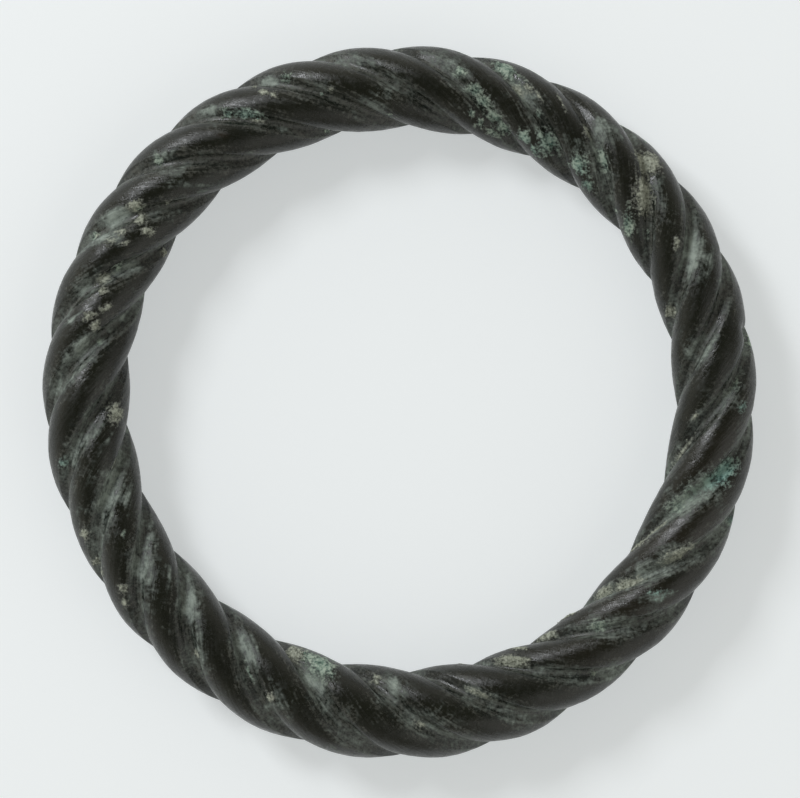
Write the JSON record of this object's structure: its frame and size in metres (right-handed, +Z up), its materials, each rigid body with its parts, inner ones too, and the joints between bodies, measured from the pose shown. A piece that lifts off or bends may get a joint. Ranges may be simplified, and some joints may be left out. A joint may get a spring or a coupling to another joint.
{
  "type": "bracelet",
  "caption": "Closed ring bracelet of solid patinated bronze, its round rod worked into rounded spiral ridges with hollow grooves, slightly out of round, lying flat.",
  "frame": {"origin": "centre of the ring's outline, on the surface that it lies on", "axes": "+Z up, through the wrist opening; +X to the right and +Y away, seen from above"},
  "size_m": [0.085, 0.0848, 0.0108],
  "materials": {
    "patinated_bronze": "dark worn bronze with grey-green, turquoise and cream corrosion in the grooves"
  },
  "bodies": {
    "root": {"bracelet": "patinated_bronze"}
  },
  "joints": []
}
